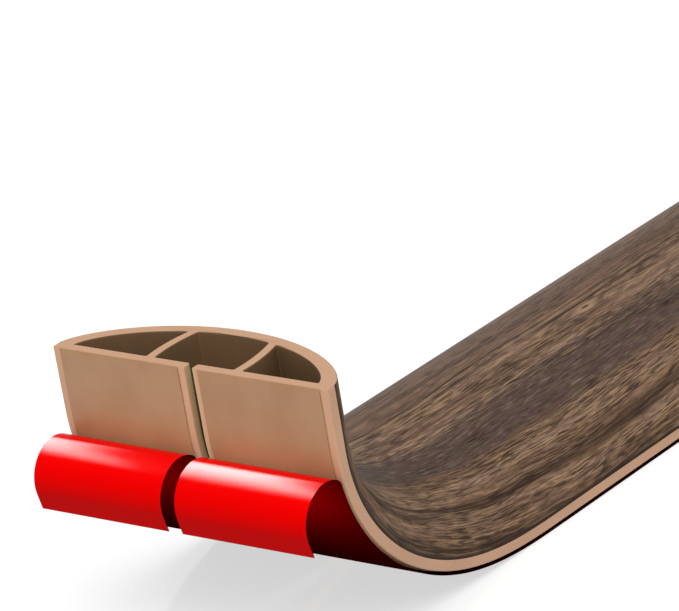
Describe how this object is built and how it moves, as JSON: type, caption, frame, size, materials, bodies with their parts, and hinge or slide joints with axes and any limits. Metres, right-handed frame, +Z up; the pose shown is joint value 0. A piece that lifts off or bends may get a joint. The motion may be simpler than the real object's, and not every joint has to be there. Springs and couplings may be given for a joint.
{
  "type": "floor cord cover",
  "caption": "Soft domed floor cord cover with three cable channels, a slit flat underside and two taped strips of red release film; near end curled up.",
  "frame": {"origin": "middle of the part's bounding box in X and Y, at the level of the floor it rests on", "axes": "+Z up, +Y along the straight stock and away from the raised end, +X across the cover"},
  "size_m": [0.09, 0.97, 0.0758],
  "materials": {
    "tan_pvc": "matte tan PVC with a satin dark walnut wood-grain print on the dome",
    "adhesive": "translucent tan double-sided tape",
    "red_film": "glossy red plastic film"
  },
  "bodies": {
    "root": {"cord_cover": "tan_pvc", "adhesive_tape_left": "adhesive", "adhesive_tape_right": "adhesive", "release_liner_left": "red_film", "release_liner_right": "red_film"}
  },
  "joints": []
}
